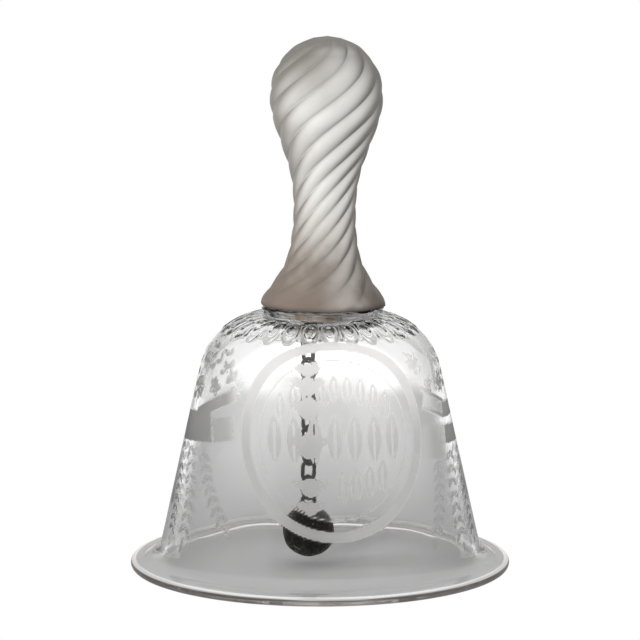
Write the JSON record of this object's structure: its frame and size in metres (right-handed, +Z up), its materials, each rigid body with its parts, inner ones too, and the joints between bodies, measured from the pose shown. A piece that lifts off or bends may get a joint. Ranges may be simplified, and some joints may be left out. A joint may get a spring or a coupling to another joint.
{
  "type": "glass hand bell",
  "caption": "Clear glass hand bell with a turned-out lip, a twisted satin glass handle and a dark metal ball clapper on a fine wire chain.",
  "frame": {"origin": "on the bell's axis, at the plane of the lip that it stands on", "axes": "+Z up along the handle; the front faces -Y; the chain hangs from a hook set slightly towards -X"},
  "size_m": [0.0862, 0.0862, 0.1205],
  "materials": {
    "clear_glass": "clear, fire-polished, with acid-etched satin ornament",
    "satin_glass": "acid-etched satin",
    "plaster": "dry, matt",
    "steel_wire": "dull drawn wire",
    "dark_iron": "blackened"
  },
  "bodies": {
    "bell": {"bell_cup": "clear_glass", "seal_wafer": "clear_glass", "twisted_handle": "satin_glass", "cement_plug": "plaster", "hanger_wire": "steel_wire"},
    "link_1": {"chain_link_1": "steel_wire"},
    "link_2": {"chain_link_2": "steel_wire"},
    "link_3": {"chain_link_3": "steel_wire"},
    "link_4": {"chain_link_4": "steel_wire"},
    "link_5": {"chain_link_5": "steel_wire"},
    "link_6": {"chain_link_6": "steel_wire"},
    "link_7": {"chain_link_7": "steel_wire"},
    "link_8": {"chain_link_8": "steel_wire"},
    "link_9": {"chain_link_9": "steel_wire"},
    "clapper": {"clapper_shank": "steel_wire", "clapper_ball": "dark_iron"}
  },
  "joints": [
    {"name": "link_1_swing", "type": "hinge", "parent": "bell", "child": "link_1", "pos_m": [-0.0026, 0, 0.0506], "axis": [0.766, 0.6428, 0], "range_deg": [-30, 30]},
    {"name": "link_2_swing", "type": "hinge", "parent": "link_1", "child": "link_2", "pos_m": [-0.0026, 0, 0.04666], "axis": [-0.6428, 0.766, 0], "range_deg": [-32, 32]},
    {"name": "link_3_swing", "type": "hinge", "parent": "link_2", "child": "link_3", "pos_m": [-0.0026, 0, 0.04272], "axis": [-0.766, -0.6428, 0], "range_deg": [-35, 35]},
    {"name": "link_4_swing", "type": "hinge", "parent": "link_3", "child": "link_4", "pos_m": [-0.0026, 0, 0.03878], "axis": [0.6428, -0.766, 0], "range_deg": [-38, 38]},
    {"name": "link_5_swing", "type": "hinge", "parent": "link_4", "child": "link_5", "pos_m": [-0.0026, 0, 0.03484], "axis": [0.766, 0.6428, 0], "range_deg": [-42, 42]},
    {"name": "link_6_swing", "type": "hinge", "parent": "link_5", "child": "link_6", "pos_m": [-0.0026, 0, 0.0309], "axis": [-0.6428, 0.766, 0], "range_deg": [-45, 45]},
    {"name": "link_7_swing", "type": "hinge", "parent": "link_6", "child": "link_7", "pos_m": [-0.0026, 0, 0.02696], "axis": [-0.766, -0.6428, 0], "range_deg": [-48, 48]},
    {"name": "link_8_swing", "type": "hinge", "parent": "link_7", "child": "link_8", "pos_m": [-0.0026, 0, 0.02302], "axis": [0.6428, -0.766, 0], "range_deg": [-48, 48]},
    {"name": "link_9_swing", "type": "hinge", "parent": "link_8", "child": "link_9", "pos_m": [-0.0026, 0, 0.01908], "axis": [0.766, 0.6428, 0], "range_deg": [-50, 50]},
    {"name": "clapper_swing", "type": "hinge", "parent": "link_9", "child": "clapper", "pos_m": [-0.0026, 0, 0.01514], "axis": [-0.6428, 0.766, 0], "range_deg": [-50, 50]}
  ]
}
